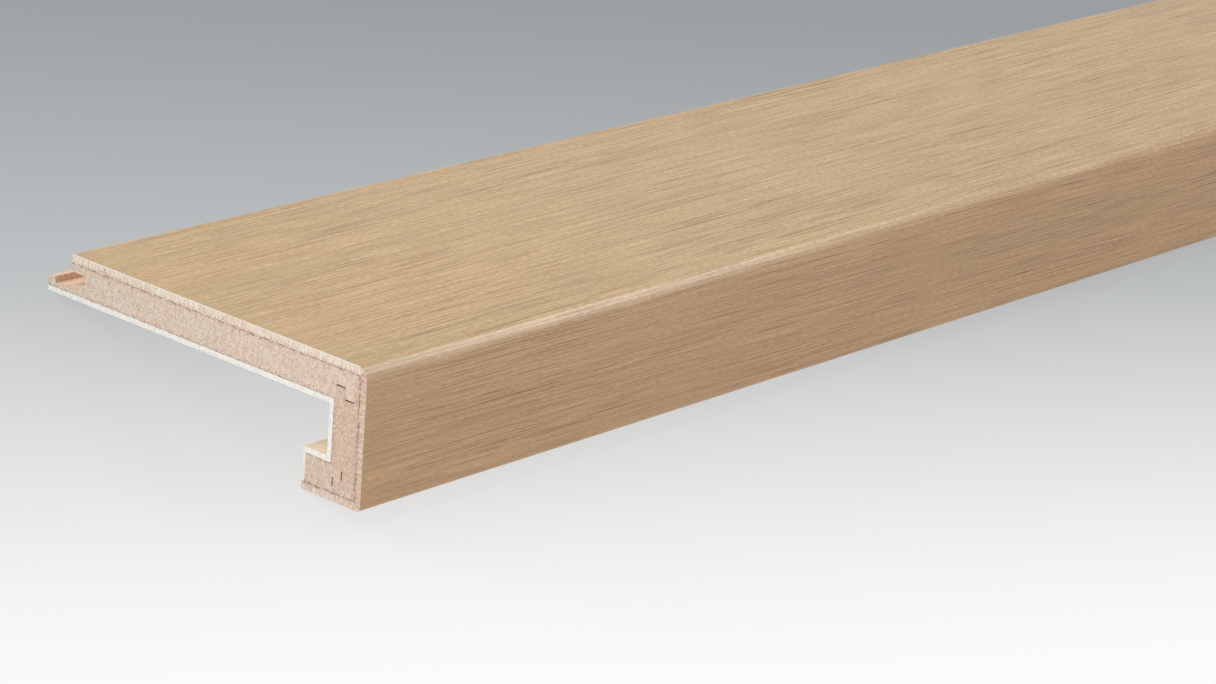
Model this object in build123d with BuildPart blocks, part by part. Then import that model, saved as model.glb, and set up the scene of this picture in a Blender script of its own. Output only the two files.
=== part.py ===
from build123d import *
import math
import os

# Stair nosing folded up from three strips of one three-ply floor board.
# Every strip has a hard face ply, a dense fibre core and a thin backing ply.
# The strips meet at the nose and at the lower corner in lock mitres.
# A section point is written as (distance back from the front face, height from the top face).

# Sizes of the section, in millimetres
length = 1000.0
tread_depth = 115.0
nosing_height = 39.6
foot_depth = 21.9
board_t = 13.0
foot_t = 12.0
face_t = 2.3
backing_t = 1.5

# Rounding of the nose and easing of the lower front edge and the rear top edge
nose_r = 3.6
ease_r = 1.4
bevel = 0.3

# Lock mitre: the plain mitre at the outer corner, then a tongue from each board.
# Each tongue stops short of its notch, which leaves a glue pocket.
mitre_run = 4.2
tongue_reach = 10.4
counter_reach = 7.6
glue_gap = 0.45
nose_tongue_w = 3.3
foot_tongue_w = 2.5

# Click groove along the rear edge, with a long lower lip that ends in a hook
lip_reach = 9.7
upper_lip_t = 5.0
groove_depth = 5.5
groove_chamfer = 0.9
groove_floor_h = 7.5
lip_mid_h = 9.15
lip_low_h = 10.2
hook_w = 3.1
hook_top_h = 8.5
hook_draft = 0.5
hook_chamfer = 0.45

# The nosing can't stand level unheld. It rests on the rear edge of the foot
# and on the underside of the lip's tip, so it is stored with that tilt.
lip_end = tread_depth + lip_reach
tilt = math.atan2(nosing_height - board_t, lip_end - foot_depth)
tilt_cos = math.cos(tilt)
tilt_sin = math.sin(tilt)
front_reach = nosing_height * tilt_sin - ease_r * (tilt_cos + tilt_sin - 1)
rear_reach = lip_end * tilt_cos - (hook_top_h + hook_chamfer) * tilt_sin
corner_y = (front_reach - rear_reach) / 2
corner_z = foot_depth * tilt_sin + nosing_height * tilt_cos
section = Plane(
    origin=(-length / 2, corner_y, corner_z),
    x_dir=(0, tilt_cos, -tilt_sin),
    z_dir=(1, 0, 0),
)

# Heights and corners that several plies share
core_low = board_t - backing_t
bottom = nosing_height
foot_core_top = bottom - foot_t + backing_t
foot_top = bottom - foot_t
nose_mid = nose_r * (1 - math.sqrt(0.5))
ease_mid = ease_r * (1 - math.sqrt(0.5))

# Where the teeth of the two lock mitres stand, counted from the outer corner
nose_tooth_1 = mitre_run + nose_tongue_w
nose_tooth_2 = nose_tooth_1 + nose_tongue_w
foot_tooth_1 = mitre_run + foot_tongue_w
foot_tooth_2 = foot_tooth_1 + foot_tongue_w
foot_mitre_end = board_t - (foot_t - foot_tooth_2)
foot_mitre_core = foot_mitre_end + (foot_t - backing_t - foot_tooth_2)

# Tread board: face ply, with its half of the rounded nose
with BuildPart() as tread_face:
    with BuildSketch(section):
        with BuildLine():
            CenterArc((nose_r, -nose_r), nose_r, 90, 45)
            Polyline(
                (nose_r, 0),
                (tread_depth - bevel, 0),
                (tread_depth, -bevel),
                (tread_depth, -face_t),
                (face_t, -face_t),
                (nose_mid, -nose_mid),
            )
        make_face()
    extrude(amount=length)

# Tread board: core, with the lock mitre in front and the click groove at the rear
with BuildPart() as tread_core:
    with BuildSketch(section):
        with BuildLine():
            Polyline(
                (lip_end - hook_w, -lip_low_h),
                (lip_end - hook_w + hook_draft, -hook_top_h),
                (lip_end - hook_chamfer, -hook_top_h),
                (lip_end, -hook_top_h - hook_chamfer),
                (lip_end, -core_low),
                (core_low, -core_low),
                (nose_tooth_2, -nose_tooth_2),
                (nose_tooth_2, -counter_reach + glue_gap),
                (nose_tooth_1, -counter_reach + glue_gap),
                (nose_tooth_1, -tongue_reach),
                (mitre_run, -tongue_reach),
                (mitre_run, -mitre_run),
                (face_t, -face_t),
                (tread_depth, -face_t),
                (tread_depth, -upper_lip_t),
                (tread_depth - groove_depth + groove_chamfer, -upper_lip_t),
                (tread_depth - groove_depth, -upper_lip_t - groove_chamfer),
                (tread_depth - groove_depth, -groove_floor_h),
            )
            ThreePointArc(
                (tread_depth - groove_depth, -groove_floor_h),
                ((tread_depth - groove_depth + lip_end - hook_w) / 2, -lip_mid_h),
                (lip_end - hook_w, -lip_low_h),
            )
        make_face()
    extrude(amount=length)

# Tread board: backing ply, which runs out to the tip of the lower lip
with BuildPart() as tread_backing:
    with BuildSketch(section):
        with BuildLine():
            Polyline(
                (core_low, -core_low),
                (lip_end, -core_low),
                (lip_end, -board_t),
                (board_t, -board_t),
                close=True,
            )
        make_face()
    extrude(amount=length)

# Front board: face ply, rounded at the nose and eased at the lower edge
with BuildPart() as front_face:
    with BuildSketch(section):
        with BuildLine():
            CenterArc((nose_r, -nose_r), nose_r, 135, 45)
            Line((0, -nose_r), (0, -bottom + ease_r))
            CenterArc((ease_r, -bottom + ease_r), ease_r, 180, 45)
            Polyline(
                (ease_mid, -bottom + ease_mid),
                (face_t, -bottom + face_t),
                (face_t, -face_t),
                (nose_mid, -nose_mid),
            )
        make_face()
    extrude(amount=length)

# Front board: core, with a lock mitre at either end
with BuildPart() as front_core:
    with BuildSketch(section):
        with BuildLine():
            Polyline(
                (face_t, -face_t),
                (mitre_run, -mitre_run),
                (mitre_run, -tongue_reach - glue_gap),
                (nose_tooth_1, -tongue_reach - glue_gap),
                (nose_tooth_1, -counter_reach),
                (nose_tooth_2, -counter_reach),
                (nose_tooth_2, -nose_tooth_2),
                (core_low, -core_low),
                (core_low, -bottom + foot_mitre_core - board_t + foot_t),
                (foot_mitre_end, -bottom + foot_tooth_2),
                (counter_reach - glue_gap, -bottom + foot_tooth_2),
                (counter_reach - glue_gap, -bottom + foot_tooth_1),
                (tongue_reach, -bottom + foot_tooth_1),
                (tongue_reach, -bottom + mitre_run),
                (mitre_run, -bottom + mitre_run),
                (face_t, -bottom + face_t),
                close=True,
            )
        make_face()
    extrude(amount=length)

# Front board: backing ply, mitred at both ends
with BuildPart() as front_backing:
    with BuildSketch(section):
        with BuildLine():
            Polyline(
                (core_low, -core_low),
                (board_t, -board_t),
                (board_t, -foot_top),
                (core_low, -foot_core_top),
                close=True,
            )
        make_face()
    extrude(amount=length)

# Foot board: face ply on the underside
with BuildPart() as foot_face:
    with BuildSketch(section):
        with BuildLine():
            CenterArc((ease_r, -bottom + ease_r), ease_r, 225, 45)
            Polyline(
                (ease_r, -bottom),
                (foot_depth, -bottom),
                (foot_depth, -bottom + face_t),
                (face_t, -bottom + face_t),
                (ease_mid, -bottom + ease_mid),
            )
        make_face()
    extrude(amount=length)

# Foot board: core, with its tongue pointing forward
with BuildPart() as foot_core:
    with BuildSketch(section):
        with BuildLine():
            Polyline(
                (face_t, -bottom + face_t),
                (foot_depth, -bottom + face_t),
                (foot_depth, -foot_core_top),
                (core_low, -foot_core_top),
                (foot_mitre_end, -bottom + foot_tooth_2),
                (counter_reach, -bottom + foot_tooth_2),
                (counter_reach, -bottom + foot_tooth_1),
                (tongue_reach + glue_gap, -bottom + foot_tooth_1),
                (tongue_reach + glue_gap, -bottom + mitre_run),
                (mitre_run, -bottom + mitre_run),
                close=True,
            )
        make_face()
    extrude(amount=length)

# Foot board: backing ply on the inner side
with BuildPart() as foot_backing:
    with BuildSketch(section):
        with BuildLine():
            Polyline(
                (core_low, -foot_core_top),
                (foot_depth, -foot_core_top),
                (foot_depth, -foot_top),
                (board_t, -foot_top),
                close=True,
            )
        make_face()
    extrude(amount=length)

# One file for each ply
tread_face.part.label = "tread_face"
tread_core.part.label = "tread_core"
tread_backing.part.label = "tread_backing"
front_face.part.label = "front_face"
front_core.part.label = "front_core"
front_backing.part.label = "front_backing"
foot_face.part.label = "foot_face"
foot_core.part.label = "foot_core"
foot_backing.part.label = "foot_backing"

os.makedirs("parts", exist_ok=True)
export_step(tread_face.part, "parts/tread_face.step")
export_step(tread_core.part, "parts/tread_core.step")
export_step(tread_backing.part, "parts/tread_backing.step")
export_step(front_face.part, "parts/front_face.step")
export_step(front_core.part, "parts/front_core.step")
export_step(front_backing.part, "parts/front_backing.step")
export_step(foot_face.part, "parts/foot_face.step")
export_step(foot_core.part, "parts/foot_core.step")
export_step(foot_backing.part, "parts/foot_backing.step")
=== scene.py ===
"""Looks of a u-shaped stair nosing, folded up from three strips of three-ply oak floor board.

Each ply of the tread, front and foot board gets its own mesh: lacquered oak with brushed grain,
a sawn fibre core with a machined click groove, and a veneer backing. The section's sizes are in
millimetres, as (distance back from the front face, height down from the top face).
"""

import logging
import math
from dataclasses import dataclass, field, replace
from enum import Enum
from typing import Callable, Sequence

import bpy
from bpy.types import ID, Material, Node, NodeSocket, NodeTree, Object
from mathutils import Matrix, Vector, noise
from mathutils.geometry import delaunay_2d_cdt


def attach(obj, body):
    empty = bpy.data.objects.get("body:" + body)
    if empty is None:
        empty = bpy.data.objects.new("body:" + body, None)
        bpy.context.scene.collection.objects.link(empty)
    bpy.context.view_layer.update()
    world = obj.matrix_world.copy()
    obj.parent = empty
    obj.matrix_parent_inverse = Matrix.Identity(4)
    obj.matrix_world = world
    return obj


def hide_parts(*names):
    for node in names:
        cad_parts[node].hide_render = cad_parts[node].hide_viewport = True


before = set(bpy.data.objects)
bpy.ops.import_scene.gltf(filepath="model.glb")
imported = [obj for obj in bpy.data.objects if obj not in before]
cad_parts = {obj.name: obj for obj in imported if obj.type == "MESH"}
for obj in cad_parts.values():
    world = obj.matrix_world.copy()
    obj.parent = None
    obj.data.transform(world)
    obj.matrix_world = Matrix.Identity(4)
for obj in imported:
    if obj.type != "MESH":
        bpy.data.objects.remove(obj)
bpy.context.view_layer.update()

LOG = logging.getLogger("stair_nosing")
MM = 0.001
# Distances from either end at which a ply's outline is repeated, in millimetres
END_RINGS = (0.0, 0.35, 1.1, 2.4)
# Where the way round a section leaps by more than this, in millimetres, the pattern is cut there.
UNROLL_JUMP = 20.0
SMOOTH_ANGLE = math.radians(28)
# Of a sawn end's net, in parts of its spacing: from row to row, and clear of the outline
ROW_STEP = 0.87
NET_CLEAR = 0.55
Point = tuple[float, float]
Outlines = tuple[list[Point], list[Point], list[Point]]
Strip = tuple[str, float, float]
Seeds = tuple[float, float, float]
Relief = Callable[[float, float, float], float]


class Surface(Enum):
    """Which face of a ply a polygon belongs to, in the order of the piece's material slots."""

    LONG = 0
    END = 1


@dataclass(frozen=True)
class Section:
    """The nosing's section and its place in the part's frame, in millimetres."""

    length: float = 1000.0
    tread_depth: float = 115.0
    height: float = 39.6
    foot_depth: float = 21.9
    board: float = 13.0
    foot_board: float = 12.0
    face: float = 2.3
    backing: float = 1.5
    nose_radius: float = 3.6
    ease_radius: float = 1.4
    rear_bevel: float = 0.3
    mitre_run: float = 4.2
    tongue_reach: float = 10.4
    counter_reach: float = 7.6
    glue_gap: float = 0.45
    nose_tongue: float = 3.3
    foot_tongue: float = 2.5
    lip_reach: float = 9.7
    upper_lip: float = 5.0
    groove_depth: float = 5.5
    groove_chamfer: float = 0.9
    groove_floor: float = 7.5
    lip_mid: float = 9.15
    lip_low: float = 10.2
    hook_width: float = 3.1
    hook_top: float = 8.5
    hook_draft: float = 0.5
    hook_chamfer: float = 0.45

    @property
    def lip_end(self) -> float:
        """How far back the tip of the lower lip stands."""
        return self.tread_depth + self.lip_reach

    @property
    def core_low(self) -> float:
        """Depth of the seam between core and backing."""
        return self.board - self.backing

    @property
    def foot_top(self) -> float:
        """Depth of the foot's inner side."""
        return self.height - self.foot_board

    @property
    def tilt(self) -> float:
        """Angle by which the nosing leans back at rest, in radians."""
        return math.atan2(self.height - self.board, self.lip_end - self.foot_depth)

    @property
    def corner(self) -> Point:
        """Finds the sharp upper front corner, so that the nosing is centred and rests on the floor.

        Returns:
            Its place in the part's frame as (y, z).
        """
        c, s = math.cos(self.tilt), math.sin(self.tilt)
        front = self.height * s - self.ease_radius * (c + s - 1)
        rear = self.lip_end * c - (self.hook_top + self.hook_chamfer) * s
        return (front - rear) / 2, self.foot_depth * s + self.height * c

    def place(self, x: float, u: float, v: float) -> Vector:
        """Turns a place on the section into the part's frame.

        Args:
            x: Distance along the nosing from its middle.
            u: Distance back from the front face.
            v: Distance down from the top face.

        Returns:
            The point in metres.
        """
        y0, z0 = self.corner
        c, s = math.cos(self.tilt), math.sin(self.tilt)
        return Vector((x, y0 + u * c - v * s, z0 - u * s - v * c)) * MM

    def turn(self) -> Matrix:
        """The rotation from the level section to the nosing at rest."""
        return Matrix.Rotation(-self.tilt, 3, "X")

    def lock(self, tongue: float, board: float, notched: bool) -> list[Point]:
        """Draws one side of a lock mitre.

        Args:
            tongue: Thickness of its tongues.
            board: Thickness of the front board at the nose, or of the foot below.
            notched: Whether this side has the longer tongue's notch, or else that tongue.

        Returns:
            The corners from the oak's seam to the backing's, as depths in (that board, the other).
        """
        first = self.mitre_run + tongue
        second = first + tongue
        reach = self.tongue_reach + (self.glue_gap if notched else 0.0)
        counter = self.counter_reach - (0.0 if notched else self.glue_gap)
        return [
            (self.face, self.face),
            (self.mitre_run, self.mitre_run),
            (self.mitre_run, reach),
            (first, reach),
            (first, counter),
            (second, counter),
            (second, self.board - (board - second)),
            (board - self.backing, self.core_low),
        ]

    def foot_lock(self, notched: bool) -> list[Point]:
        """One side of the lower lock mitre, from the backing's seam to the oak's."""
        lock = self.lock(self.foot_tongue, self.foot_board, notched)
        return [(u, self.height - deep) for deep, u in reversed(lock)]


def linear(code: str) -> tuple[float, float, float, float]:
    """Turns an sRGB hex colour into linear values.

    Args:
        code: The colour, such as "#c8ae84".

    Returns:
        Red, green, blue and an alpha of one.
    """
    parts = [int(code[i : i + 2], 16) / 255 for i in (1, 3, 5)]
    r, g, b = (c / 12.92 if c <= 0.04045 else ((c + 0.055) / 1.055) ** 2.4 for c in parts)
    return r, g, b, 1.0


def add(tree: NodeTree, kind: str, inputs: dict | None = None, **settings) -> Node:
    """Adds a shader node with its settings and links.

    Args:
        tree: The material's node tree.
        kind: The node's type name.
        inputs: Socket name or number to a value, or to the socket it is linked from.
        **settings: The node's own properties.

    Returns:
        The new node.
    """
    made = tree.nodes.new(kind)
    for key, value in settings.items():
        setattr(made, key, value)
    for socket, value in (inputs or {}).items():
        if isinstance(value, NodeSocket):
            tree.links.new(value, made.inputs[socket])
        else:
            made.inputs[socket].default_value = value
    return made


def new_material(name: str) -> tuple[Material, NodeTree, Node]:
    """Starts a material.

    Args:
        name: Its name.

    Returns:
        The material, its node tree and its shader.
    """
    made = bpy.data.materials.new(name)
    made.use_nodes = True
    return made, made.node_tree, made.node_tree.nodes["Principled BSDF"]


def put(name: str, data: ID) -> Object:
    """Puts a new object into the scene.

    Args:
        name: Its name.
        data: Its mesh, camera or light.

    Returns:
        The object.
    """
    made = bpy.data.objects.new(name, data)
    bpy.context.scene.collection.objects.link(made)
    return made


def arc(centre: Point, radius: float, start: float, end: float, steps: int) -> list[Point]:
    """Points on a circle's arc, both ends included.

    Args:
        centre: Middle of the circle as (u, v).
        radius: Radius in millimetres.
        start: First angle in degrees, 0 towards the rear and 90 upward.
        end: Last angle in degrees.
        steps: Number of chords.

    Returns:
        The points in order.
    """
    turns = (math.radians(start + (end - start) * i / steps) for i in range(steps + 1))
    return [(centre[0] + radius * math.cos(a), centre[1] - radius * math.sin(a)) for a in turns]


def arc_through(a: Point, b: Point, c: Point, steps: int) -> list[Point]:
    """Points on the arc from a to c through b, both ends included.

    Args:
        a: First point.
        b: A point on the arc.
        c: Last point.
        steps: Number of chords.

    Returns:
        The points in order.
    """
    ax, ay, bx, by, cx, cy = *a, *b, *c
    d = 2 * (ax * (by - cy) + bx * (cy - ay) + cx * (ay - by))
    na, nb, nc = ax * ax + ay * ay, bx * bx + by * by, cx * cx + cy * cy
    ox = (na * (by - cy) + nb * (cy - ay) + nc * (ay - by)) / d
    oy = (na * (cx - bx) + nb * (ax - cx) + nc * (bx - ax)) / d
    radius = math.hypot(ax - ox, ay - oy)
    first, last = math.atan2(ay - oy, ax - ox), math.atan2(cy - oy, cx - ox)
    last += 2 * math.pi * round((first - last) / (2 * math.pi))
    turns = (first + (last - first) * i / steps for i in range(steps + 1))
    return [(ox + radius * math.cos(t), oy + radius * math.sin(t)) for t in turns]


def drawn_out(corners: Sequence[Point], pitch: Callable[[Point, Point], float]) -> list[Point]:
    """Adds points along each edge of a closed outline.

    Args:
        corners: The outline's corners in order.
        pitch: Largest spacing that an edge may have, from its two ends.

    Returns:
        The finer outline.
    """
    out: list[Point] = []
    for i, a in enumerate(corners):
        b = corners[(i + 1) % len(corners)]
        steps = max(1, math.ceil(math.dist(a, b) / pitch(a, b)))
        du, dv = b[0] - a[0], b[1] - a[1]
        out += [(a[0] + du * k / steps, a[1] + dv * k / steps) for k in range(steps)]
    return out


@dataclass(frozen=True)
class Figure:
    """One pattern of a surface: noise drawn out along the board and turned into a strength.

    Attributes:
        along: Length of its marks in millimetres.
        across: Their width in millimetres.
        low: Noise value where the change of strength starts.
        high: Noise value where it ends.
        first: Strength below the start.
        last: Strength beyond the end.
        detail: Octaves of finer marks.
        shift: Offset that keeps figures of like size apart.
    """

    along: float
    across: float
    low: float = 0.3
    high: float = 0.7
    first: float = 0.0
    last: float = 1.0
    detail: float = 0.0
    shift: float = 0.0

    def laid(self, tree: NodeTree, place: NodeSocket) -> NodeSocket:
        """Lays the pattern on a surface.

        Args:
            tree: The material's node tree.
            place: The place on the surface, in millimetres.

        Returns:
            The strength's socket.
        """
        scale = (1 / self.along, 1 / self.across, 1)
        laid = {"Vector": place, "Location": (self.shift,) * 3, "Scale": scale}
        scaled = add(tree, "ShaderNodeMapping", laid).outputs[0]
        marks = {"Vector": scaled, "Scale": 1.0, "Detail": self.detail}
        cloud = add(tree, "ShaderNodeTexNoise", marks, noise_dimensions="2D").outputs["Fac"]
        span = {"From Min": self.low, "From Max": self.high, "To Min": self.first, "To Max": self.last}
        shown = add(tree, "ShaderNodeMapRange", {"Value": cloud, **span}, interpolation_type="SMOOTHSTEP")
        return shown.outputs["Result"]


@dataclass(frozen=True)
class LacqueredOak:
    """European oak, planed, brushed and lacquered matt: pale tan, dark pore lines and a silky sheen.

    Attributes:
        name: The material's name.
        drift: How far the grain runs off the board's length, in degrees.
        fibre: Width of the finest fibres drawn. Real pores are 0.2 to 0.3 mm wide; on the tread, which
            the camera sees at a slant, they are drawn about twice as wide so that they show.
        warm: Main colour of the wood.
        cool: Colour of its greyer drifts.
        dense: Colour of the densest late wood.
        pore: Colour inside the open pores.
        pores: How much of that colour the pore lines show.
        contrast: How strongly the fibres differ in tone.
        roughness: Roughness of the brushed wood.
        film: Roughness of the lacquer.
        edge: How far below the nose the painted light on the nose takes to fade into the strip's colour, in
            millimetres; none if 0.
        proud: How far the late wood stands proud, in metres.
    """

    name: str
    drift: float
    fibre: float = 0.6
    warm: str = "#c9a87c"
    cool: str = "#c4a478"
    dense: str = "#8f6b2c"
    pore: str = "#7b5331"
    pores: float = 0.6
    contrast: float = 0.85
    roughness: float = 0.5
    film: float = 0.27
    edge: float = 0.0
    proud: float = 0.00008

    def material(self) -> Material:
        """Builds the finish.

        Returns:
            The material, which reads the ply's unrolled face in millimetres from its UV map.
        """
        made, tree, shader = new_material(self.name)
        place = add(tree, "ShaderNodeUVMap", uv_map="mm").outputs[0]
        drift = {"Vector": place, "Rotation": (0, 0, math.radians(-self.drift))}
        turned = add(tree, "ShaderNodeMapping", drift).outputs[0]
        # Grain wanders by about 1 mm over a length of 150 mm.
        slow = {"Vector": turned, "Scale": (1 / 150, 1 / 60, 1)}
        waves = {"Vector": add(tree, "ShaderNodeMapping", slow).outputs[0], "Scale": 1.0, "Detail": 1.0}
        wander = add(tree, "ShaderNodeTexNoise", waves).outputs["Color"]
        pushed = {0: wander, 1: (0.0, 2.0, 0.0), 2: turned}
        grain = add(tree, "ShaderNodeVectorMath", pushed, operation="MULTIPLY_ADD").outputs[0]

        # Greyer drifts of tone, about 260 mm long and 24 mm wide
        inks = [(Figure(260.0, 24.0, 0.35, 0.65, detail=2.0).laid(tree, grain), self.cool)]
        if self.edge:
            # Round the nose the front strip is painted as pale as the tread: painted light that the rounded
            # nose catches like the top. Below it the strip darkens into its own tone.
            down = add(tree, "ShaderNodeSeparateXYZ", {0: place}).outputs["Y"]
            span = {"Value": down, "From Min": -self.edge, "From Max": 0.0, "To Max": 0.7}
            painted_nose_light = add(tree, "ShaderNodeMapRange", span, interpolation_type="SMOOTHSTEP")
            inks.append((painted_nose_light.outputs["Result"], LacqueredOak.warm))
        # Growth bands some 3 to 8 mm wide, strands, fibres, and the short cells within a fibre,
        # each swinging the tone to both sides along the line to the dense wood's ochre
        fine = self.fibre
        for along, across, swing, detail in (
            (420.0, 6.5, 0.012, 2.0),
            (70.0, 1.8 * fine, 0.03, 0.0),
            (30.0, 0.7 * fine, 0.24, 0.0),
            (2.5, 0.6 * fine, 0.2, 0.0),
        ):
            swing *= self.contrast
            shade = Figure(along, across, 0.27, 0.73, swing, -swing, detail)
            inks.append((shade.laid(tree, grain), self.dense))
        # Open pores stand end to end in hairlines up to 100 mm long, seen as dashes of 5 to 20 mm,
        # and crowd in the early wood of each growth band.
        opened = Figure(120.0, 0.7 * fine, 0.54, 0.68, last=self.pores).laid(tree, grain)
        for figure in (
            Figure(22.0, 1.1 * fine, 0.38, 0.6, detail=1.0),
            Figure(420.0, 6.5, 0.32, 0.62, 1.0, 0.7, 2.0),
        ):
            both = {0: opened, 1: figure.laid(tree, grain)}
            opened = add(tree, "ShaderNodeMath", both, operation="MULTIPLY").outputs[0]
        # Here and there a deep pore stands open for 20 to 30 mm.
        slits = Figure(50.0, 0.7 * fine, 0.84, 0.92, last=1.0, shift=7.0).laid(tree, grain)
        opened = add(tree, "ShaderNodeMath", {0: opened, 1: slits}, operation="MAXIMUM").outputs[0]
        inks.append((opened, self.pore))
        tone = linear(self.warm)
        for strength, ink in inks:
            laid = {0: strength, 6: tone, 7: linear(ink)}
            tone = add(tree, "ShaderNodeMix", laid, data_type="RGBA", clamp_factor=False).outputs[2]
        tree.links.new(tone, shader.inputs["Base Color"])

        rough = Figure(9.0, 0.85 * fine, 0.2, 0.8, self.roughness + 0.05, self.roughness - 0.05, 1.0)
        tree.links.new(rough.laid(tree, grain), shader.inputs["Roughness"])
        shader.inputs["IOR"].default_value = 1.5
        # The lacquer film wets the wood, so light glances off the film and hardly off the wood below.
        shader.inputs["Specular IOR Level"].default_value = 0.1
        shader.inputs["Coat Weight"].default_value = 1.0
        shader.inputs["Coat IOR"].default_value = 1.5
        shader.inputs["Coat Roughness"].default_value = self.film
        # Brushing leaves the late wood proud by a few hundredths of a millimetre.
        late = Figure(9.0, 0.85 * fine, 0.0, 1.0, detail=1.0).laid(tree, grain)
        relief = add(tree, "ShaderNodeMath", {0: late, 1: opened}, operation="SUBTRACT").outputs[0]
        bump = add(tree, "ShaderNodeBump", {"Height": relief, "Strength": 0.35, "Distance": self.proud})
        tree.links.new(bump.outputs[0], shader.inputs["Normal"])
        return made


@dataclass(frozen=True)
class CutWood:
    """Bare wood or fibre as the saw or the cutter left it: dull, with torn fibres and no sheen.

    Attributes:
        name: The material's name.
        ground: Its main colour.
        layers: Patterns laid over it in order, each with its colour.
        relief: Pattern of the torn fibres that stand up.
        seams: Depths in the board at which a glue line shows.
        pale: Strips that are rubbed pale, each as (X or Y of the end, where it starts, where it is full).
        glue: Colour of the glue lines.
        crumb: Colour of the coarse red-brown fibres beside a glue line.
        chalk: Colour of the pale strips.
        shade: Tint that dulls all of these colours alike.
        roughness: Roughness of the cut.
        height: How far the torn fibres stand up, in metres.
    """

    name: str
    ground: str
    layers: tuple[tuple[Figure, str], ...]
    relief: Figure
    seams: tuple[float, ...] = ()
    pale: tuple[Strip, ...] = ()
    glue: str = "#9d8273"
    crumb: str = "#a9735f"
    chalk: str = "#fbf5ea"
    shade: str = "#ffffff"
    roughness: float = 0.8
    height: float = 0.0001

    def material(self) -> Material:
        """Builds the finish.

        Returns:
            The material, which reads (along the board, depth in it) or the unrolled face from "mm".
        """
        made, tree, shader = new_material(self.name)
        place = add(tree, "ShaderNodeUVMap", uv_map="mm").outputs[0]
        split = add(tree, "ShaderNodeSeparateXYZ", {0: place})
        inks = [(figure.laid(tree, place), ink) for figure, ink in self.layers]
        for seam in self.seams:
            # The glue line is about 0.5 mm wide and broken; coarse fibres lie within 1 mm of it.
            off = add(tree, "ShaderNodeMath", {0: split.outputs["Y"], 1: seam}, operation="SUBTRACT")
            away = add(tree, "ShaderNodeMath", {0: off.outputs[0]}, operation="ABSOLUTE").outputs[0]
            for near, far, figure, ink in (
                (0.3, 1.3, Figure(0.75, 0.6, 0.54, 0.66, last=0.7, detail=1.0, shift=seam), self.crumb),
                (0.1, 0.36, Figure(3.0, 500.0, 0.38, 0.66, 0.1, 0.85, 3.0), self.glue),
            ):
                span = {"Value": away, "From Min": near, "From Max": far, "To Min": 1.0, "To Max": 0.0}
                fade = add(tree, "ShaderNodeMapRange", span, interpolation_type="SMOOTHSTEP")
                both = {0: fade.outputs["Result"], 1: figure.laid(tree, place)}
                inks.append((add(tree, "ShaderNodeMath", both, operation="MULTIPLY").outputs[0], ink))
        for axis, start, full in self.pale:
            span = {"Value": split.outputs[axis], "From Min": start, "From Max": full, "To Max": 0.85}
            fade = add(tree, "ShaderNodeMapRange", span, interpolation_type="SMOOTHSTEP")
            inks.append((fade.outputs["Result"], self.chalk))
        tone = self._dulled(self.ground)
        for strength, ink in inks:
            laid = {0: strength, 6: tone, 7: self._dulled(ink)}
            tone = add(tree, "ShaderNodeMix", laid, data_type="RGBA").outputs[2]
        tree.links.new(tone, shader.inputs["Base Color"])
        shader.inputs["Roughness"].default_value = self.roughness
        shader.inputs["IOR"].default_value = 1.46
        torn = self.relief.laid(tree, place)
        bump = add(tree, "ShaderNodeBump", {"Height": torn, "Strength": 0.5, "Distance": self.height})
        tree.links.new(bump.outputs[0], shader.inputs["Normal"])
        return made

    def _dulled(self, ink: str) -> tuple[float, ...]:
        """A colour under this cut's tint, made linear."""
        return tuple(a * b for a, b in zip(linear(ink), linear(self.shade)))


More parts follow.
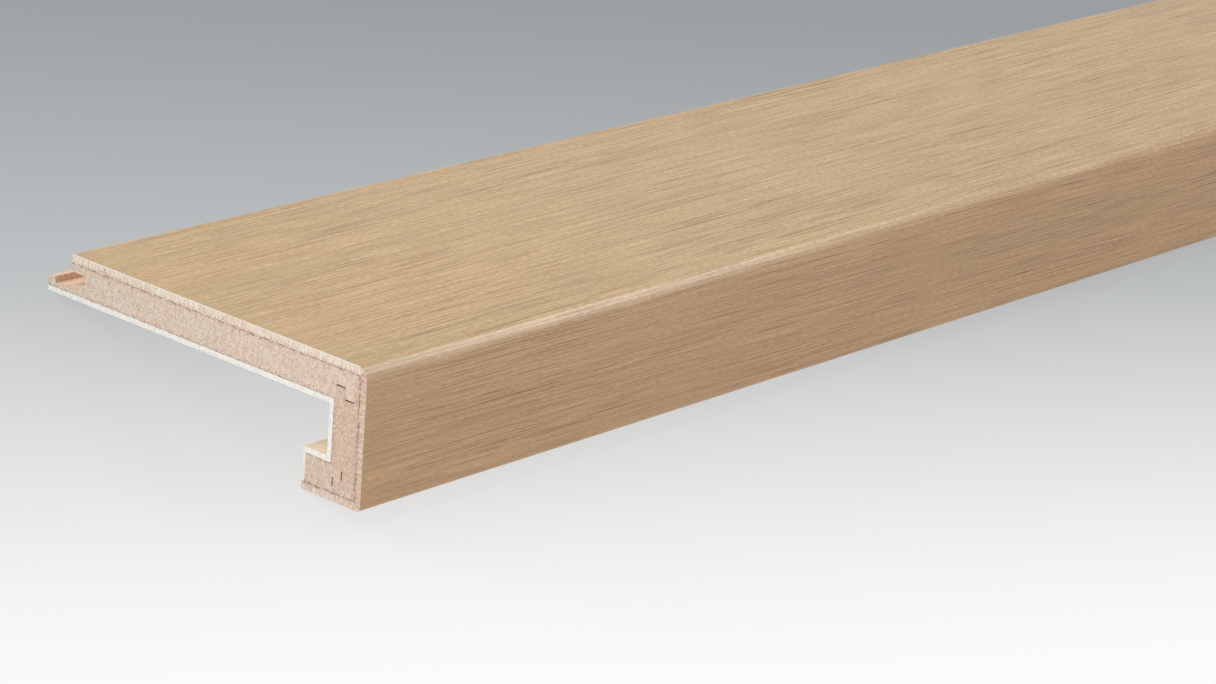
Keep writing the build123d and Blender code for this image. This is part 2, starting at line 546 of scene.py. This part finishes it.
@dataclass(frozen=True)
class Finishes:
    """The finishes of the three plies, and of each one's sawn ends."""

    section: Section

    def oak_end(
        self, board: str, shade: str, *pale: Strip, drag: float = 0.0, smear: float = 0.0
    ) -> Material:
        """Sawn oak across the ply: cream, with pinkish rays at about 1 mm.

        Args:
            board: Which board it is for.
            shade: Tint that dulls it.
            *pale: Strips that are rubbed pale.
            drag: How far the saw dragged the glue line into the fibre.
            smear: How much of the rays it smeared over, in patches.

        Returns:
            The material.
        """
        return CutWood(
            f"sawn_{board}_oak_end",
            "#f3e5d0",
            (
                (Figure(60.0, 40.0, 0.4, 0.65, last=0.35, detail=1.0, shift=2.0), "#e6c6b0"),
                (Figure(0.75, 4.0, 0.42, 0.7, last=0.6, detail=3.0), "#ddb9a2"),
                (Figure(0.5, 1.2, 0.56, 0.72, last=0.45, detail=1.0, shift=3.0), "#c39a82"),
                (Figure(0.7, 2.5, 0.55, 0.7, last=0.65, shift=9.0), "#fdf8ef"),
                # Here and there the saw smeared the rays over.
                (Figure(4.5, 30.0, 0.45, 0.6, last=smear, detail=1.0, shift=5.0), "#f2e2cf"),
            ),
            Figure(0.6, 1.6, 0.2, 0.8, detail=2.0),
            seams=(self.section.face + drag,),
            pale=pale,
            shade=shade,
        ).material()

    def fibre_end(
        self, board: str, tone: str, seam: float, *pale: Strip, drag: float = 0.0, chalk: str = CutWood.chalk
    ) -> Material:
        """Sawn fibre board: pinkish tan, felted, with dark and pale fibres of about 0.8 mm.

        Args:
            board: Which board it is for.
            tone: Its main colour.
            seam: Depth of the seam with the backing.
            *pale: Strips that are rubbed pale.
            drag: How far the saw dragged the glue line into the fibre.
            chalk: Colour of the pale strips.

        Returns:
            The material.
        """
        return CutWood(
            f"sawn_{board}_fibre_end",
            tone,
            (
                (Figure(7.0, 5.0, 0.4, 0.7, last=0.35, detail=2.0), "#dcc4a6"),
                (Figure(1.6, 1.7, 0.4, 0.65, last=0.4, detail=2.0), "#cfae98"),
                (Figure(0.85, 0.75, 0.55, 0.7, last=0.5, detail=2.0, shift=3.0), "#b5907a"),
                (Figure(0.8, 0.7, 0.56, 0.72, last=0.5, detail=1.0, shift=9.0), "#f8eadc"),
            ),
            Figure(0.8, 0.8, 0.2, 0.8, detail=3.0),
            seams=(self.section.face + drag, seam),
            pale=pale,
            chalk=chalk,
        ).material()

    def veneer_end(self) -> Material:
        """Sawn backing veneer: nearly white, as its thin ply frays under the saw."""
        return CutWood(
            "sawn_veneer_end",
            "#f9f5ee",
            ((Figure(1.6, 1.2, 0.45, 0.7, last=0.5, detail=1.0), "#e9dccb"),),
            Figure(0.6, 0.6, 0.2, 0.8, detail=2.0),
        ).material()

    def veneer(self) -> Material:
        """Peeled backing veneer, sanded and left bare: pale tan with faint straight grain."""
        return CutWood(
            "backing_veneer",
            # These tones are partly the veneer's own pale tan and partly painted light: they are drawn
            # lighter to lift the shade inside the channel that the veneer lines.
            "#f4e6d2",
            (
                (Figure(120.0, 5.0, 0.35, 0.7, last=0.6, detail=3.0), "#e8d3b4"),
                (Figure(14.0, 0.5, 0.45, 0.75, last=0.5, detail=2.0), "#d0b38f"),
            ),
            Figure(14.0, 0.5, 0.2, 0.8, detail=2.0),
            roughness=0.72,
        ).material()

    def milled(self) -> Material:
        """Fibre board cut by the moulding machine: orange-brown felt with faint cutter ripples."""
        return CutWood(
            "milled_fibre",
            # These tones are partly the fibre's own orange-brown and partly painted light: they are drawn
            # lighter to lift the shade inside the click groove.
            "#dcbc9f",
            (
                (Figure(1.6, 40.0, 0.4, 0.65, last=0.25), "#c9a486"),
                (Figure(0.7, 0.7, 0.42, 0.7, last=0.6, detail=3.0, shift=5.0), "#bf987a"),
            ),
            Figure(0.7, 0.7, 0.2, 0.8, detail=3.0, shift=5.0),
            roughness=0.85,
        ).material()


def stations(length: float, step: float) -> list[float]:
    """Where a ply's outline is repeated along the nosing, closer together at both ends.

    Args:
        length: The nosing's length.
        step: Spacing away from the ends.

    Returns:
        The distances from the first end.
    """
    first = list(END_RINGS)
    inner = length - 2 * first[-1]
    steps = max(1, round(inner / step))
    middle = [first[-1] + inner * k / steps for k in range(1, steps)]
    return first + middle + [length - d for d in reversed(first)]


def roughened(depth: float, stripe: float, seed: float) -> Relief:
    """Relief of a sawn end: marks 2.6 mm long that stand across the board, and torn fibre between them.

    Args:
        depth: How deep the marks are, in millimetres.
        stripe: Spacing of the marks.
        seed: Shifts the pattern from ply to ply.

    Returns:
        A function from (along, depth in the board, x) to the sunk depth.
    """
    mark, grit, far_shift, torn_shift = 2.6, 0.7, 7.0, 31.0

    def relief(along: float, deep: float, x: float) -> float:
        """Sunk depth at one place of the end."""
        shift = seed + (far_shift if x > 0 else 0.0)
        marks = noise.noise(Vector((along / stripe, deep / mark, shift)))
        torn = noise.noise(Vector((along / grit, deep / grit, shift + torn_shift)))
        return depth * max(0.0, 0.5 + 0.9 * marks + 0.5 * torn)

    return relief


def brushed(seed: float) -> Relief:
    """Relief of brushed oak: shallow hollows of 45 by 2.4 mm, on waves of 160 by 18 mm, along the grain.

    Args:
        seed: Shifts the pattern from ply to ply.

    Returns:
        A function from (x, u, v) to the sunk depth.
    """
    depth, wave_shift = 0.035, 50.0

    def relief(x: float, u: float, v: float) -> float:
        """Sunk depth at one place of the surface."""
        hollow = noise.noise(Vector((x / 45.0, (u - v) / 2.4, seed)))
        wave = noise.noise(Vector((x / 160.0, (u - v) / 18.0, seed + wave_shift)))
        return depth * max(0.0, 0.4 + 0.6 * hollow + 0.8 * wave)

    return relief


@dataclass(frozen=True)
class PlyKind:
    """What the same ply has in common on all three boards, in millimetres.

    Attributes:
        piece: Last part of its piece's name.
        node: Last part of the name of its CAD node.
        slot: The name of its material slot; not used.
        net: Spacing of the points inside a sawn end.
        stripe: Spacing of the saw's marks on that end.
        torn: How deep they are.
        pitch: Spacing of the points round its outline.
        step: Spacing at which its outline is repeated along the nosing.
    """

    piece: str
    node: str
    slot: str
    net: float
    stripe: float
    torn: float
    pitch: float
    step: float


class Ply(Enum):
    """The three plies of a board, from its lacquered side inward."""

    FACE = PlyKind("oak_face", "face", "oak_face", net=0.4, stripe=0.55, torn=0.1, pitch=0.8, step=5.0)
    CORE = PlyKind("fibre_core", "core", "fibre_core", net=0.45, stripe=0.9, torn=0.1, pitch=0.8, step=20.0)
    BACKING = PlyKind(
        "backing_veneer", "backing", "backing_ply", net=0.4, stripe=0.6, torn=0.06, pitch=0.9, step=12.0
    )


@dataclass
class Board:
    """A strip of floor board: oak face, fibre core and veneer backing.

    Attributes:
        section: The nosing's sizes.
        name: First part of its pieces' names.
        seeds: Shifts of the pattern on the sawn ends, one for each ply.
        face: What its oak ply is like.
        face_pitch: Spacing of the points across the oak's seen side.
        brush: Shift of the pattern of the brushed oak; None leaves it flat.
    """

    section: Section
    name: str
    seeds: Seeds
    face: PlyKind = Ply.FACE.value
    face_pitch: float = Ply.FACE.value.pitch
    brush: float | None = None

    def corners(self) -> Outlines:
        """The corners of its three plies' outlines, in order."""
        raise NotImplementedError

    def deep(self, p: Point) -> Point:
        """(Along the board, depth from its oak face) for a point of the section."""
        return p

    def unrolled(self, p: Point) -> float:
        """Measures the way round the oak face.

        Args:
            p: A point of the section.

        Returns:
            Its distance from the middle of the nose.
        """
        radius = self.section.nose_radius
        along, deep = self.deep(p)
        if deep > radius or along > radius:
            return along - radius + radius * math.pi / 4
        return radius * (math.atan2(along - radius, radius - deep) + math.pi / 4)

    def build(self, ply: Ply, long: Material, end: Material) -> Object:
        """Builds and dresses one of its plies.

        Args:
            ply: Which ply it is.
            long: Finish of its long faces.
            end: Finish of its sawn ends.

        Returns:
            The piece.
        """
        oak = ply is Ply.FACE
        kind = self.face if oak else ply.value

        def pitch(a: Point, b: Point) -> float:
            """Spacing of the points on an edge, which is finest on the oak's seen side."""
            seen = oak and self.deep(a)[1] < 0.01 and self.deep(b)[1] < 0.01
            return self.face_pitch if seen else kind.pitch

        corners, seed = dict(zip(Ply, zip(self.corners(), self.seeds)))[ply]
        return PlyMesh(
            self,
            kind,
            drawn_out(corners, pitch),
            self.unrolled if oak else lambda p: self.deep(p)[0],
            roughened(kind.torn, kind.stripe, seed),
            brushed(self.brush) if oak and self.brush else None,
            {Surface.LONG: long, Surface.END: end},
        ).build()


@dataclass
class PlyMesh:
    """A ply as one closed mesh: its outline swept along the nosing, with both ends in relief.

    Attributes:
        board: The board that it is part of.
        kind: What it is like.
        outline: Its section, finely divided, as (u, v).
        unroll: Gives an outline point's distance round the section.
        end_relief: Gives how far an end's point is sunk, from (along, depth, x).
        long_relief: Gives how far a long face's point is sunk, from (x, u, v); None leaves it flat.
        shades: The finish of each surface.
    """

    board: Board
    kind: PlyKind
    outline: list[Point]
    unroll: Callable[[Point], float]
    end_relief: Relief
    long_relief: Relief | None
    shades: dict[Surface, Material]
    verts: list[Vector] = field(default_factory=list, init=False)
    faces: list[tuple[int, ...]] = field(default_factory=list, init=False)
    marks: list[Surface] = field(default_factory=list, init=False)
    uvs: list[Point] = field(default_factory=list, init=False)

    def build(self) -> Object:
        """Makes the mesh, dresses it and ties it to the part.

        Returns:
            The new object.
        """
        self._sweep()
        self._close()
        name = f"{self.board.name}_{self.kind.piece}"
        mesh = bpy.data.meshes.new(name)
        mesh.from_pydata(self.verts, [], self.faces)
        for surface in Surface:
            mesh.materials.append(self.shades[surface])
        mesh.polygons.foreach_set("material_index", [m.value for m in self.marks])
        layer = mesh.uv_layers.new(name="mm")
        layer.data.foreach_set("uv", [c for pair in self.uvs for c in pair])
        mesh.validate()
        mesh.update()
        mesh.shade_smooth()
        mesh.set_sharp_from_angle(angle=SMOOTH_ANGLE)
        piece = put(name, mesh)
        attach(piece, "root")
        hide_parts(f"{self.board.name}_{self.kind.node}")
        LOG.info("%s: %d faces", name, len(mesh.polygons))
        return piece

    def _sweep(self) -> None:
        """Repeats the outline at each station and joins the rings with faces."""
        section, count = self.board.section, len(self.outline)
        rings = stations(section.length, self.kind.step)
        ends = {0: -1, len(rings) - 1: 1}
        normals = self._outward()
        for k, ring in enumerate(rings):
            for (u, v), (nu, nv) in zip(self.outline, normals):
                x = ring - section.length / 2
                if k in ends:
                    x -= ends[k] * self.end_relief(*self.board.deep((u, v)), x)
                sink = self.long_relief(x, u, v) if self.long_relief else 0.0
                self.verts.append(section.place(x, u - nu * sink, v - nv * sink))
        reach = [self.unroll(p) for p in self.outline]
        for k, (xa, xb) in enumerate(zip(rings, rings[1:])):
            a, b = k * count, (k + 1) * count
            for i in range(count):
                j = (i + 1) % count
                self.faces.append((a + i, a + j, b + j, b + i))
                self.marks.append(Surface.LONG)
                far = reach[j] if abs(reach[j] - reach[i]) < UNROLL_JUMP else reach[i]
                self.uvs += [(xa, reach[i]), (xa, far), (xb, far), (xb, reach[i])]

    def _edges(self) -> list[tuple[Point, Point]]:
        """The outline's edges, each as its two ends."""
        return list(zip(self.outline, self.outline[1:] + self.outline[:1]))

    def _winding(self) -> float:
        """Twice the outline's area, with a sign for the way that it runs round."""
        return sum(a[0] * b[1] - b[0] * a[1] for a, b in self._edges())

    def _outward(self) -> list[Point]:
        """Finds which way is outward.

        Returns:
            The outward direction at each of the outline's points, as (u, v).
        """
        side = 1 if self._winding() > 0 else -1
        out = []
        for i in range(len(self.outline)):
            (au, av), (bu, bv) = self.outline[i - 1], self.outline[(i + 1) % len(self.outline)]
            du, dv = bu - au, bv - av
            size = math.hypot(du, dv) or 1.0
            out.append((side * dv / size, -side * du / size))
        return out

    def _close(self) -> None:
        """Closes both ends with a fine net of triangles in relief."""
        board, count = self.board, len(self.outline)
        flat, tris = self._netted()
        for end, first in ((-1, 0), (1, len(self.verts) - count)):
            start = len(self.verts)
            x = end * board.section.length / 2
            for u, v in flat[count:]:
                sink = self.end_relief(*board.deep((u, v)), x)
                self.verts.append(board.section.place(x - end * sink, u, v))
            number = [*range(first, first + count), *range(start, len(self.verts))]
            for tri in tris:
                order = tri if end < 0 else tri[::-1]
                self.faces.append(tuple(number[i] for i in order))
                self.marks.append(Surface.END)
                self.uvs += [board.deep(flat[i]) for i in order]

    def _netted(self) -> tuple[list[Point], list[tuple[int, ...]]]:
        """Nets the end face with nearly even triangles.

        Returns:
            The points, the outline's own first, and the triangles, all wound one way.
        """
        count, pitch = len(self.outline), self.kind.net
        us, vs = zip(*self.outline)
        points = [Vector(p) for p in self.outline]
        row = 0
        v = min(vs) + pitch * 0.6
        while v < max(vs) - pitch * 0.3:
            u = min(us) + pitch * (0.5 + 0.5 * (row % 2))
            while u < max(us):
                if self._fits(u, v):
                    points.append(Vector((u, v)))
                u += pitch
            v += pitch * ROW_STEP
            row += 1
        edges = [(i, (i + 1) % count) for i in range(count)]
        flat, _, tris, origin, _, _ = delaunay_2d_cdt(points, edges, [], 1, 1e-6)
        if len(flat) != len(points) or any(o[0] != i for i, o in enumerate(origin)):
            raise ValueError(f"an end of the {self.board.name} board can't be netted")
        kept = [(p[0], p[1]) for p in flat]
        wound = []
        ring = self._winding()
        for tri in tris:
            a, b, c = (kept[i] for i in tri)
            turn = (b[0] - a[0]) * (c[1] - a[1]) - (c[0] - a[0]) * (b[1] - a[1])
            wound.append(tuple(tri) if turn * ring < 0 else tuple(tri)[::-1])
        return kept, wound

    def _fits(self, u: float, v: float) -> bool:
        """Tells whether a point may join the net.

        Args:
            u: Its distance back.
            v: Its distance down.

        Returns:
            True if it lies within the outline and clear of the outline's points.
        """
        odd = False
        for (au, av), (bu, bv) in self._edges():
            if (av > v) != (bv > v) and u < (bu - au) * (v - av) / (bv - av) + au:
                odd = not odd
        clear = self.kind.net * NET_CLEAR
        return odd and min(math.hypot(u - a, v - b) for a, b in self.outline) > clear


@dataclass
class TreadBoard(Board):
    """The board that lies on the stair tread, with the nose in front and the click groove behind."""

    name: str = "tread"
    seeds: Seeds = (3.0, 5.0, 9.0)
    face: PlyKind = replace(Ply.FACE.value, torn=0.09, pitch=1.6, step=2.6)
    face_pitch: float = 0.75
    brush: float | None = 11.0

    def corners(self) -> Outlines:
        """Draws the outlines of its plies.

        Returns:
            The oak with its half of the nose, the core with lock mitre and click groove, and the
            backing, which runs out to the tip of the lower lip.
        """
        s = self.section
        rear, tip, low = s.tread_depth, s.lip_end, s.core_low
        root, hook = rear - s.groove_depth, tip - s.hook_width
        nose = arc((s.nose_radius, s.nose_radius), s.nose_radius, 135, 90, 8)
        lip = arc_through((root, s.groove_floor), ((root + hook) / 2, s.lip_mid), (hook, s.lip_low), 14)
        oak = nose + [(rear - s.rear_bevel, 0.0), (rear, s.rear_bevel), (rear, s.face), (s.face, s.face)]
        core = [
            *lip,
            (hook + s.hook_draft, s.hook_top),
            (tip - s.hook_chamfer, s.hook_top),
            (tip, s.hook_top + s.hook_chamfer),
            (tip, low),
            *reversed(s.lock(s.nose_tongue, s.board, notched=False)),
            (rear, s.face),
            (rear, s.upper_lip),
            (root + s.groove_chamfer, s.upper_lip),
            (root, s.upper_lip + s.groove_chamfer),
        ]
        return oak, core, [(low, low), (tip, low), (tip, s.board), (s.board, s.board)]


@dataclass
class FrontBoard(Board):
    """The upright board, with a lock mitre at either end."""

    name: str = "front"
    seeds: Seeds = (13.0, 19.0, 23.0)
    face: PlyKind = replace(Ply.FACE.value, pitch=1.6, step=2.6)
    face_pitch: float = 0.6
    brush: float | None = 17.0

    def corners(self) -> Outlines:
        """Draws the outlines of its plies.

        Returns:
            The oak rounded above and eased below, the core between its two lock mitres, and the
            backing, mitred at both ends.
        """
        s = self.section
        nose = arc((s.nose_radius, s.nose_radius), s.nose_radius, 180, 135, 8)
        ease = arc((s.ease_radius, s.height - s.ease_radius), s.ease_radius, 225, 180, 4)
        upper, lower = s.lock(s.nose_tongue, s.board, notched=True), s.foot_lock(notched=False)
        oak = nose + [(s.face, s.face), (s.face, s.height - s.face)] + ease
        return oak, upper + lower, [upper[-1], (s.board, s.board), (s.board, s.foot_top), lower[0]]

    def deep(self, p: Point) -> Point:
        """(Along the board, depth from its oak face) for a point of the section."""
        return p[1], p[0]

    def unrolled(self, p: Point) -> float:
        """Distance round the oak face from the middle of the nose, counted upward."""
        return -super().unrolled(p)


@dataclass
class FootBoard(Board):
    """The short board that turns back under the front, with its tongue pointing forward."""

    name: str = "foot"
    seeds: Seeds = (29.0, 37.0, 41.0)

    def corners(self) -> Outlines:
        """Draws the outlines of its plies.

        Returns:
            The oak on the underside, the core, and the backing on the foot's inner side.
        """
        s = self.section
        lock = s.foot_lock(notched=True)
        rear, seam, inner = s.foot_depth, s.height - s.face, lock[0][1]
        ease = arc((s.ease_radius, s.height - s.ease_radius), s.ease_radius, 225, 270, 4)
        oak = ease + [(rear, s.height), (rear, seam), lock[-1]]
        core = [lock[-1], (rear, seam), (rear, inner), *lock[:-1]]
        return oak, core, [lock[0], (rear, inner), (rear, s.foot_top), (s.board, s.foot_top)]

    def deep(self, p: Point) -> Point:
        """(Along the board, depth from its oak face) for a point of the section."""
        return p[0], self.section.height - p[1]

    def unrolled(self, p: Point) -> float:
        """Distance across the underside, past the front's grain."""
        return -40.0 - p[0]


@dataclass(frozen=True)
class Studio:
    """Camera, floor and lights. The camera was fitted to the straight edges in the photograph.

    Attributes:
        eye: The lens, as (past the near end, back from the front face, height over the top face).
        azimuth: Where it stands round the level nosing, in degrees.
        elevation: How far above the top face's plane it stands, in degrees.
        roll: Its turn about its own axis, in degrees.
        focal: Focal length in pixels of the photograph.
        width: Width of the photograph in pixels.
        paper: How much of the room's light the floor sheet throws back.
        glow: How strongly the sheet gives off its own light in its graded tones. This painted light stands
            in for lighting from below and keeps shadows faint.
        white: Where the sheet starts to turn grey, in metres behind the nosing's middle.
        grey: Where it is grey.
        fill: Strength of the light from all round.
        reach: How far from the nose the boxes hang that it mirrors, in metres.
    """

    section: Section
    eye: tuple[float, float, float] = (-648.07, -633.04, 324.17)
    azimuth: float = -49.506
    elevation: float = 19.032
    roll: float = 4.457
    focal: float = 3765.4
    width: int = 1216
    paper: float = 0.12
    glow: float = 0.87
    white: float = -0.31
    grey: float = 0.07
    fill: float = 0.42
    reach: float = 2.4

    def camera(self) -> Object:
        """Places the camera as it stood to the nosing in the photograph.

        Returns:
            The camera.
        """
        a, e, r = (math.radians(v) for v in (self.azimuth, self.elevation, self.roll))
        back = Vector((math.sin(a) * math.cos(e), -math.cos(a) * math.cos(e), math.sin(e)))
        level = Vector((0, 0, 1)).cross(back).normalized()
        rise = back.cross(level)
        right = level * math.cos(r) + rise * math.sin(r)
        rise = back.cross(right)
        turned = self.section.turn() @ Matrix((right, rise, back)).transposed()
        data = bpy.data.cameras.new("camera")
        data.sensor_width = 36.0
        data.lens = self.focal / self.width * data.sensor_width
        data.clip_start, data.clip_end = 0.05, 60.0
        made = put("camera", data)
        along, rear, height = self.eye
        place = self.section.place(along - self.section.length / 2, rear, -height)
        made.matrix_world = Matrix.Translation(place) @ turned.to_4x4()
        bpy.context.scene.camera = made
        return made

    def floor(self, camera: Object) -> Object:
        """Lays a pale studio sheet that goes from white in front to light grey behind.

        Args:
            camera: The camera, which the sheet's shading is square to.

        Returns:
            The floor.
        """
        half = 40.0
        mesh = bpy.data.meshes.new("studio_floor")
        rim = [(-half, -half, 0), (half, -half, 0), (half, half, 0), (-half, half, 0)]
        mesh.from_pydata(rim, [], [(0, 1, 2, 3)])
        made = put("studio_floor", mesh)
        rise = camera.matrix_world.to_3x3() @ Vector((0, 1, 0))
        away = Vector((rise.x, rise.y, 0)).normalized()
        material, tree, shader = new_material("graded_sheet")
        place = add(tree, "ShaderNodeNewGeometry").outputs["Position"]
        far = add(tree, "ShaderNodeVectorMath", {0: place, 1: tuple(away)}, operation="DOT_PRODUCT")
        span = {"Value": far.outputs["Value"], "From Min": self.white, "From Max": self.grey}
        graded = add(tree, "ShaderNodeMapRange", span).outputs["Result"]
        tones = add(tree, "ShaderNodeValToRGB", {"Fac": graded})
        tones.color_ramp.interpolation = "B_SPLINE"
        tones.color_ramp.elements[0].color = linear("#ffffff")
        tones.color_ramp.elements[1].color = linear("#93979b")
        for stop, code in ((0.22, "#ebebeb"), (0.5, "#bec1c3")):
            tones.color_ramp.elements.new(stop).color = linear(code)
        dulled = {0: 1.0, 6: tones.outputs["Color"], 7: (self.paper,) * 3 + (1.0,)}
        paper = add(tree, "ShaderNodeMix", dulled, data_type="RGBA", blend_type="MULTIPLY")
        tree.links.new(paper.outputs[2], shader.inputs["Base Color"])
        # Painted light: the sheet shines with its own graded tones in place of a lamp below it, which keeps
        # the shadows around the nosing faint.
        tree.links.new(tones.outputs["Color"], shader.inputs["Emission Color"])
        shader.inputs["Emission Strength"].default_value = self.glow
        shader.inputs["Roughness"].default_value = 0.95
        shader.inputs["Specular IOR Level"].default_value = 0.0
        mesh.materials.append(material)
        return made

    def light(self, name: str, place: Vector, aim: Vector, size: Point, watts: float) -> Object:
        """Hangs one soft box.

        Args:
            name: The light's name.
            place: Where it hangs, in metres.
            aim: What it points at.
            size: Its extent along the nosing and across it, in metres.
            watts: Its power.

        Returns:
            The light.
        """
        data = bpy.data.lights.new(name, "AREA")
        data.shape = "RECTANGLE"
        data.size, data.size_y = size
        data.energy = watts
        made = put(name, data)
        away = (place - aim).normalized()
        across = (Vector((1, 0, 0)) - away * away.x).normalized()
        turned = Matrix((across, away.cross(across), away)).transposed()
        made.matrix_world = Matrix.Translation(place) @ turned.to_4x4()
        return made

    def mirrored(self, along: float, lean: float) -> tuple[Vector, Vector]:
        """Where a light has to hang for the rounded nose to mirror it into the lens.

        Args:
            along: Distance from the near end in millimetres.
            lean: How far the nose's surface leans forward from the top face there, in degrees.

        Returns:
            The spot on the nose in metres, and the direction from it to the light.
        """
        s, r = self.section, math.radians(lean)
        radius = s.nose_radius
        x = along - s.length / 2
        spot = s.place(x, radius * (1 - math.sin(r)), radius * (1 - math.cos(r)))
        normal = s.turn() @ Vector((0, -math.sin(r), math.cos(r)))
        eye = s.place(self.eye[0] - s.length / 2, self.eye[1], -self.eye[2])
        view = (eye - spot).normalized()
        return spot, normal * 2 * normal.dot(view) - view

    def world(self) -> None:
        """Sets an even, slightly cool fill from all round."""
        world = bpy.data.worlds.new("studio_fill")
        world.use_nodes = True
        shade = world.node_tree.nodes["Background"]
        shade.inputs["Color"].default_value = linear("#eef1f4")
        shade.inputs["Strength"].default_value = self.fill
        bpy.context.scene.world = world

    def set_up(self) -> None:
        """Builds camera, floor and lights."""
        camera = self.camera()
        self.floor(camera)
        self.world()
        near = self.section.place(-self.section.length / 2, 0, 0)
        aim = Vector((-0.25, 0, 0.02))
        self.light("top_box", Vector((-0.45, 0.9, 2.0)), aim, (1.9, 1.6), 20.5)
        self.light("left_box", near + Vector((-0.8, 1.0, 0.35)), near, (0.7, 0.7), 6.5)
        self.light("rear_box", near + Vector((-0.7, 1.6, 0.3)), near, (0.9, 0.5), 8)
        for name, along, lean, watts in (("sheen_box", 75, 42, 16), ("shoulder_box", 85, 66, 9)):
            spot, toward = self.mirrored(along, lean)
            self.light(name, spot + toward * self.reach, spot, (0.4, 2.0), watts)
        view = bpy.context.scene.view_settings
        view.view_transform = "Standard"
        view.look = "None"


def main() -> None:
    """Builds and dresses the boards, then the studio."""
    logging.basicConfig(level=logging.INFO, format="%(message)s")
    section = Section()
    finishes = Finishes(section)
    boards = TreadBoard(section), FrontBoard(section), FootBoard(section)
    # Below the nose the strips take a darker, more red copy of the oak. This is partly more red wood and
    # partly painted shade for the dimmer light on the front. The camera sees them square on.
    redder_and_shaded = {"fibre": 0.38, "warm": "#c99e70", "cool": "#c0986b", "contrast": 0.8}
    oaks = (
        LacqueredOak("tread_lacquered_oak", drift=0.8),
        LacqueredOak("front_lacquered_oak", drift=-0.7, edge=4.0, **redder_and_shaded),
        LacqueredOak("foot_lacquered_oak", drift=1.0, **redder_and_shaded),
    )
    veneer, veneer_end, milled = finishes.veneer(), finishes.veneer_end(), finishes.milled()
    # On the tread the saw dragged the oak's glue line down and rubbed pale what it crossed, and
    # both the tread's upper edge and the foot's rear edge are worn pale.
    drag = 0.3
    rubbed = ("Y", section.face + drag - 0.15, section.face + 0.05)
    upper_edge = ("Y", 0.45, 0.15)
    rear_edge = ("X", section.foot_depth - 1.1, section.foot_depth - 0.8)
    oak_ends = (
        finishes.oak_end("tread", "#fefcfb", upper_edge, drag=drag, smear=0.6),
        finishes.oak_end("front", "#ecddd9"),
        finishes.oak_end("foot", "#f1eaec"),
    )
    fibre_ends = (
        finishes.fibre_end("tread", "#e7d2c1", section.core_low, rubbed, drag=drag, chalk="#f2e2d2"),
        finishes.fibre_end("front", "#d9bda8", section.core_low),
        finishes.fibre_end("foot", "#dfc8b4", section.foot_board - section.backing, rear_edge),
    )
    for board, oak, oak_end, fibre_end in zip(boards, oaks, oak_ends, fibre_ends):
        board.build(Ply.FACE, oak.material(), oak_end)
        board.build(Ply.CORE, milled, fibre_end)
        board.build(Ply.BACKING, veneer, veneer_end)
    Studio(section).set_up()


if __name__ == "__main__":
    main()
